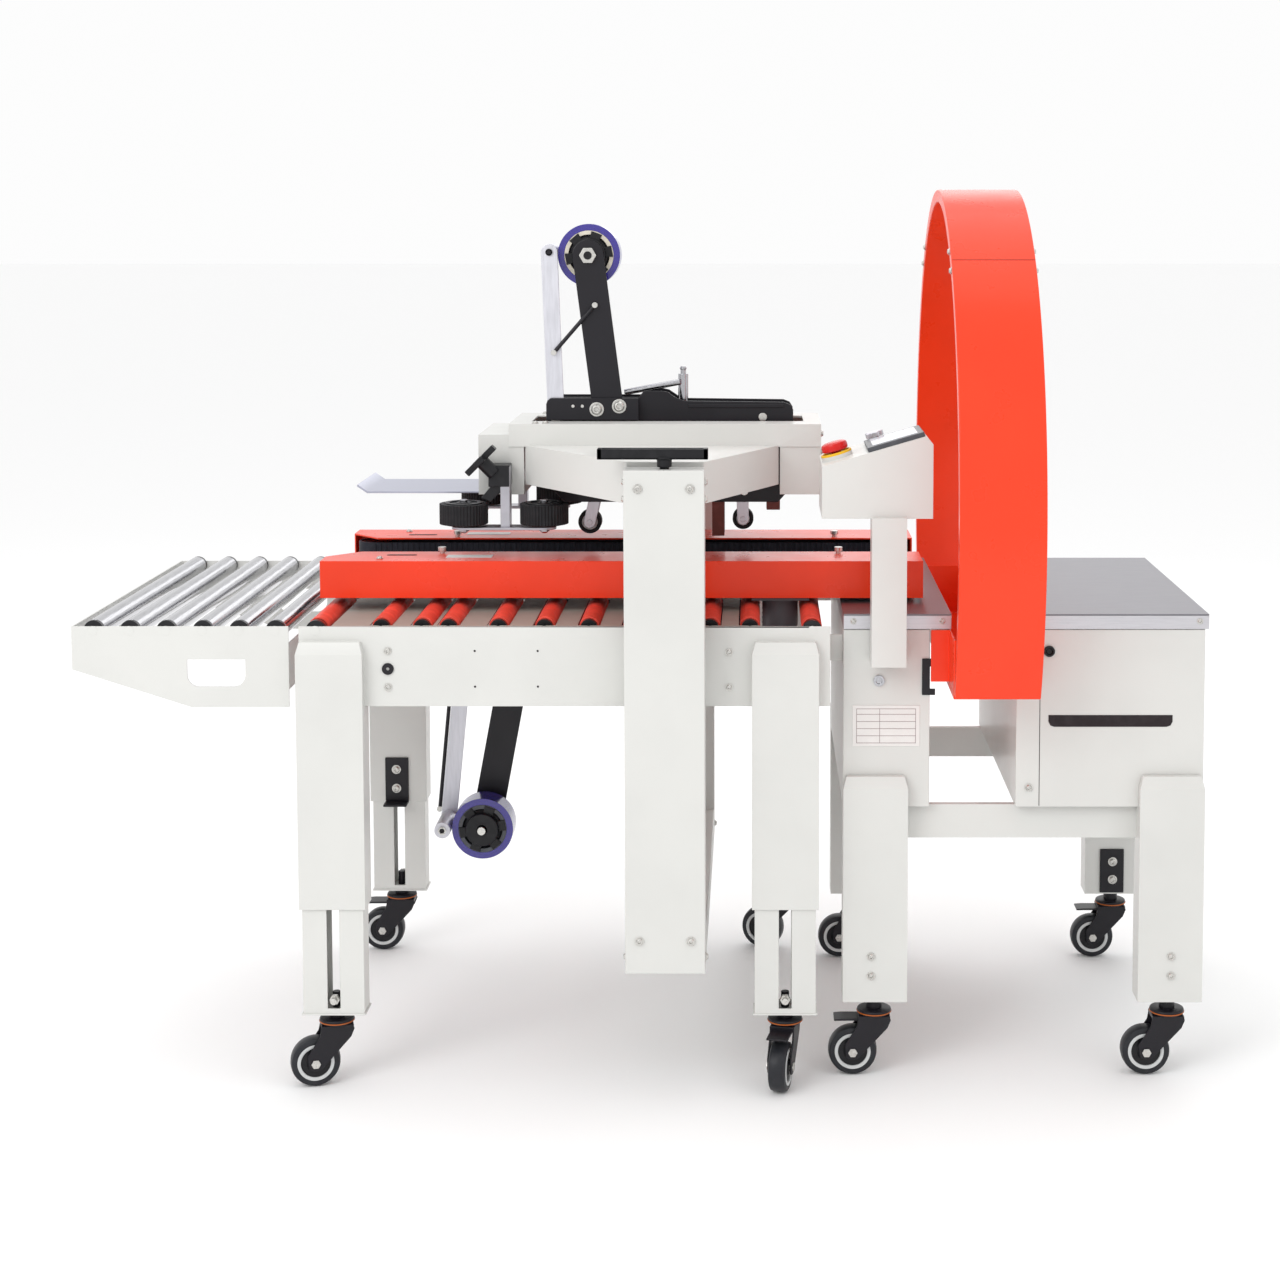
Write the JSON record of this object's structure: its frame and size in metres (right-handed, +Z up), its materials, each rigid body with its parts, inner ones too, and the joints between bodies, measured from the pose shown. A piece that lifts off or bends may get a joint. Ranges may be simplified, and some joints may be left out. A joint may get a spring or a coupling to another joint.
{
  "type": "carton sealer machine",
  "caption": "Side-belt carton sealer with lifting tape head and roller infeed, docked to an arch strapping machine, on casters.",
  "frame": {"origin": "middle of the footprint, on the floor", "axes": "+X along the carton's travel, from the infeed rollers to the strapping arch; +Y towards the side away from the operator; +Z up"},
  "size_m": [1.706, 0.874, 1.355],
  "materials": {
    "cream_paint": "smooth powder coat, semi gloss",
    "orange_paint": "smooth powder coat, semi gloss",
    "black_steel": "black oxide and satin paint",
    "stainless": "brushed, soft sheen",
    "zinc_roller": "bright zinc plate",
    "black_rubber": "matt",
    "drive_rubber": "fine ribbed, matt",
    "caster_tyre": "matt, slightly scuffed",
    "blue_tape": "gloss tape film, wound edge",
    "red_rubber": "satin sleeve",
    "deck_grey": "matt grey beige paint",
    "signal_red": "moulded, gloss"
  },
  "bodies": {
    "main_frame": {"infeed_frame": "cream_paint", "bed_side_near": "cream_paint", "bed_side_far": "cream_paint", "bed_deck": "deck_grey", "bottom_tape_head": "black_steel", "strapper_base": "cream_paint", "cabinet_left": "cream_paint", "cabinet_right": "cream_paint", "table_left": "stainless", "table_right": "stainless", "arch": "orange_paint", "arch_base": "orange_paint", "control_box": "cream_paint"},
    "infeed_roll_1": {"infeed_roller_1": "zinc_roller"},
    "infeed_roll_2": {"infeed_roller_2": "zinc_roller"},
    "infeed_roll_3": {"infeed_roller_3": "zinc_roller"},
    "infeed_roll_4": {"infeed_roller_4": "zinc_roller"},
    "infeed_roll_5": {"infeed_roller_5": "zinc_roller"},
    "infeed_roll_6": {"infeed_roller_6": "zinc_roller"},
    "bed_roll_left": {"bed_roller_left": "red_rubber"},
    "bed_roll_right": {"bed_roller_right": "red_rubber"},
    "leg_near_left": {"leg_inner_near_left": "cream_paint"},
    "leg_near_right": {"leg_inner_near_right": "cream_paint"},
    "leg_far_left": {"leg_inner_far_left": "cream_paint"},
    "leg_far_right": {"leg_inner_far_right": "cream_paint"},
    "caster_sealer_near_left": {"caster_fork_sealer_near_left": "black_steel"},
    "wheel_sealer_near_left": {"caster_wheel_sealer_near_left": "caster_tyre"},
    "caster_sealer_near_right": {"caster_fork_sealer_near_right": "black_steel"},
    "wheel_sealer_near_right": {"caster_wheel_sealer_near_right": "caster_tyre"},
    "caster_sealer_far_left": {"caster_fork_sealer_far_left": "black_steel"},
    "wheel_sealer_far_left": {"caster_wheel_sealer_far_left": "caster_tyre"},
    "caster_sealer_far_right": {"caster_fork_sealer_far_right": "black_steel"},
    "wheel_sealer_far_right": {"caster_wheel_sealer_far_right": "caster_tyre"},
    "caster_strapper_near_left": {"caster_fork_strapper_near_left": "black_steel"},
    "wheel_strapper_near_left": {"caster_wheel_strapper_near_left": "caster_tyre"},
    "caster_strapper_near_right": {"caster_fork_strapper_near_right": "black_steel"},
    "wheel_strapper_near_right": {"caster_wheel_strapper_near_right": "caster_tyre"},
    "caster_strapper_far_left": {"caster_fork_strapper_far_left": "black_steel"},
    "wheel_strapper_far_left": {"caster_wheel_strapper_far_left": "caster_tyre"},
    "caster_strapper_far_right": {"caster_fork_strapper_far_right": "black_steel"},
    "wheel_strapper_far_right": {"caster_wheel_strapper_far_right": "caster_tyre"},
    "lift": {"lift_frame": "cream_paint", "head_frame": "cream_paint", "flap_ski": "stainless", "top_tape_head": "black_steel"},
    "crank": {"lift_crank": "black_steel"},
    "top_roll": {"top_tape_roll": "blue_tape"},
    "bottom_roll": {"bottom_tape_roll": "blue_tape"},
    "belt_near": {"belt_unit_near": "orange_paint", "drive_belt_near": "drive_rubber"},
    "belt_far": {"belt_unit_far": "orange_paint", "drive_belt_far": "drive_rubber"},
    "press_near": {"press_carrier_near": "stainless"},
    "press_wheel_near_left_body": {"press_wheel_near_left": "black_rubber"},
    "press_wheel_near_right_body": {"press_wheel_near_right": "black_rubber"},
    "press_far": {"press_carrier_far": "stainless"},
    "press_wheel_far_left_body": {"press_wheel_far_left": "black_rubber"},
    "press_wheel_far_right_body": {"press_wheel_far_right": "black_rubber"},
    "estop": {"estop_button": "signal_red"}
  },
  "joints": [
    {"name": "infeed_roll_1_spin", "type": "hinge", "parent": "main_frame", "child": "infeed_roll_1", "pos_m": [-0.821, 0, 0.6955], "axis": [0, 1, 0], "continuous": true},
    {"name": "infeed_roll_2_spin", "type": "hinge", "parent": "main_frame", "child": "infeed_roll_2", "pos_m": [-0.7666, 0, 0.6955], "axis": [0, 1, 0], "continuous": true},
    {"name": "infeed_roll_3_spin", "type": "hinge", "parent": "main_frame", "child": "infeed_roll_3", "pos_m": [-0.7122, 0, 0.6955], "axis": [0, 1, 0], "continuous": true},
    {"name": "infeed_roll_4_spin", "type": "hinge", "parent": "main_frame", "child": "infeed_roll_4", "pos_m": [-0.6578, 0, 0.6955], "axis": [0, 1, 0], "continuous": true},
    {"name": "infeed_roll_5_spin", "type": "hinge", "parent": "main_frame", "child": "infeed_roll_5", "pos_m": [-0.6034, 0, 0.6955], "axis": [0, 1, 0], "continuous": true},
    {"name": "infeed_roll_6_spin", "type": "hinge", "parent": "main_frame", "child": "infeed_roll_6", "pos_m": [-0.549, 0, 0.6955], "axis": [0, 1, 0], "continuous": true},
    {"name": "bed_roll_left_spin", "type": "hinge", "parent": "main_frame", "child": "bed_roll_left", "pos_m": [-0.489, 0, 0.6955], "axis": [0, 1, 0], "continuous": true},
    {"name": "bed_roll_right_spin", "type": "hinge", "parent": "main_frame", "child": "bed_roll_right", "pos_m": [0.253, 0, 0.6955], "axis": [0, 1, 0], "continuous": true},
    {"name": "leg_near_left_height", "type": "slide", "parent": "main_frame", "child": "leg_near_left", "axis": [0, 0, 1], "range_m": [-0.12, 0.1]},
    {"name": "leg_near_right_height", "type": "slide", "parent": "main_frame", "child": "leg_near_right", "axis": [0, 0, 1], "range_m": [-0.12, 0.1]},
    {"name": "leg_far_left_height", "type": "slide", "parent": "main_frame", "child": "leg_far_left", "axis": [0, 0, 1], "range_m": [-0.12, 0.1]},
    {"name": "leg_far_right_height", "type": "slide", "parent": "main_frame", "child": "leg_far_right", "axis": [0, 0, 1], "range_m": [-0.12, 0.1]},
    {"name": "caster_sealer_near_left_swivel", "type": "hinge", "parent": "leg_near_left", "child": "caster_sealer_near_left", "pos_m": [-0.4665, -0.31, 0.0985], "axis": [0, 0, 1], "continuous": true},
    {"name": "wheel_sealer_near_left_spin", "type": "hinge", "parent": "caster_sealer_near_left", "child": "wheel_sealer_near_left", "pos_m": [-0.49852, -0.31798, 0.0375], "axis": [-0.2419, 0.9703, 0], "continuous": true},
    {"name": "caster_sealer_near_right_swivel", "type": "hinge", "parent": "leg_near_right", "child": "caster_sealer_near_right", "pos_m": [0.213, -0.31, 0.0985], "axis": [0, 0, 1], "continuous": true},
    {"name": "wheel_sealer_near_right_spin", "type": "hinge", "parent": "caster_sealer_near_right", "child": "wheel_sealer_near_right", "pos_m": [0.20614, -0.34228, 0.0375], "axis": [-0.9781, 0.2079, 0], "continuous": true},
    {"name": "caster_sealer_far_left_swivel", "type": "hinge", "parent": "leg_far_left", "child": "caster_sealer_far_left", "pos_m": [-0.4665, 0.31, 0.0985], "axis": [0, 0, 1], "continuous": true},
    {"name": "wheel_sealer_far_left_spin", "type": "hinge", "parent": "caster_sealer_far_left", "child": "wheel_sealer_far_left", "pos_m": [-0.4995, 0.31, 0.0375], "axis": [0, 1, 0], "continuous": true},
    {"name": "caster_sealer_far_right_swivel", "type": "hinge", "parent": "leg_far_right", "child": "caster_sealer_far_right", "pos_m": [0.213, 0.31, 0.0985], "axis": [0, 0, 1], "continuous": true},
    {"name": "wheel_sealer_far_right_spin", "type": "hinge", "parent": "caster_sealer_far_right", "child": "wheel_sealer_far_right", "pos_m": [0.18199, 0.32129, 0.0375], "axis": [0.342, 0.9397, 0], "continuous": true},
    {"name": "caster_strapper_near_left_swivel", "type": "hinge", "parent": "main_frame", "child": "caster_strapper_near_left", "pos_m": [0.35, -0.271, 0.0985], "axis": [0, 0, 1], "continuous": true},
    {"name": "wheel_strapper_near_left_spin", "type": "hinge", "parent": "caster_strapper_near_left", "child": "wheel_strapper_near_left", "pos_m": [0.317, -0.271, 0.0375], "axis": [0, 1, 0], "continuous": true},
    {"name": "caster_strapper_near_right_swivel", "type": "hinge", "parent": "main_frame", "child": "caster_strapper_near_right", "pos_m": [0.799, -0.271, 0.0985], "axis": [0, 0, 1], "continuous": true},
    {"name": "wheel_strapper_near_right_spin", "type": "hinge", "parent": "caster_strapper_near_right", "child": "wheel_strapper_near_right", "pos_m": [0.766, -0.271, 0.0375], "axis": [0, 1, 0], "continuous": true},
    {"name": "caster_strapper_far_left_swivel", "type": "hinge", "parent": "main_frame", "child": "caster_strapper_far_left", "pos_m": [0.35, 0.271, 0.0985], "axis": [0, 0, 1], "continuous": true},
    {"name": "wheel_strapper_far_left_spin", "type": "hinge", "parent": "caster_strapper_far_left", "child": "wheel_strapper_far_left", "pos_m": [0.317, 0.271, 0.0375], "axis": [0, 1, 0], "continuous": true},
    {"name": "caster_strapper_far_right_swivel", "type": "hinge", "parent": "main_frame", "child": "caster_strapper_far_right", "pos_m": [0.799, 0.271, 0.0985], "axis": [0, 0, 1], "continuous": true},
    {"name": "wheel_strapper_far_right_spin", "type": "hinge", "parent": "caster_strapper_far_right", "child": "wheel_strapper_far_right", "pos_m": [0.766, 0.271, 0.0375], "axis": [0, 1, 0], "continuous": true},
    {"name": "head_lift", "type": "slide", "parent": "main_frame", "child": "lift", "axis": [0, 0, 1], "range_m": [-0.015, 0.32]},
    {"name": "crank_turn", "type": "hinge", "parent": "lift", "child": "crank", "pos_m": [0.035, -0.365, 0.95], "axis": [0, 0, 1], "continuous": true},
    {"name": "top_tape_roll_spin", "type": "hinge", "parent": "lift", "child": "top_roll", "pos_m": [-0.099, 0, 1.25], "axis": [0, 1, 0], "continuous": true},
    {"name": "bottom_tape_roll_spin", "type": "hinge", "parent": "main_frame", "child": "bottom_roll", "pos_m": [-0.279, 0, 0.312], "axis": [0, 1, 0], "continuous": true},
    {"name": "belt_near_slide", "type": "slide", "parent": "main_frame", "child": "belt_near", "axis": [0, 1, 0], "range_m": [-0.1, 0.012]},
    {"name": "belt_far_slide", "type": "slide", "parent": "main_frame", "child": "belt_far", "axis": [0, 1, 0], "range_m": [-0.012, 0.1]},
    {"name": "press_near_slide", "type": "slide", "parent": "lift", "child": "press_near", "axis": [0, 1, 0], "range_m": [-0.05, 0]},
    {"name": "press_wheel_near_left_spin", "type": "hinge", "parent": "press_near", "child": "press_wheel_near_left_body", "pos_m": [-0.29, -0.13, 0.847], "axis": [0, 0, 1], "continuous": true},
    {"name": "press_wheel_near_right_spin", "type": "hinge", "parent": "press_near", "child": "press_wheel_near_right_body", "pos_m": [-0.1635, -0.13, 0.847], "axis": [0, 0, 1], "continuous": true},
    {"name": "press_far_slide", "type": "slide", "parent": "lift", "child": "press_far", "axis": [0, 1, 0], "range_m": [0, 0.05]},
    {"name": "press_wheel_far_left_spin", "type": "hinge", "parent": "press_far", "child": "press_wheel_far_left_body", "pos_m": [-0.29, 0.13, 0.847], "axis": [0, 0, 1], "continuous": true},
    {"name": "press_wheel_far_right_spin", "type": "hinge", "parent": "press_far", "child": "press_wheel_far_right_body", "pos_m": [-0.1635, 0.13, 0.847], "axis": [0, 0, 1], "continuous": true},
    {"name": "estop_press", "type": "slide", "parent": "main_frame", "child": "estop", "axis": [-0.2788, 0, 0.9603], "range_m": [-0.004, 0], "stiffness_N_per_m": 1500}
  ],
  "couplings": [
    {"joint": "crank_turn", "follows": "head_lift", "rad_per_m": 251.33},
    {"joint": "belt_far_slide", "follows": "belt_near_slide", "ratio": -1}
  ]
}
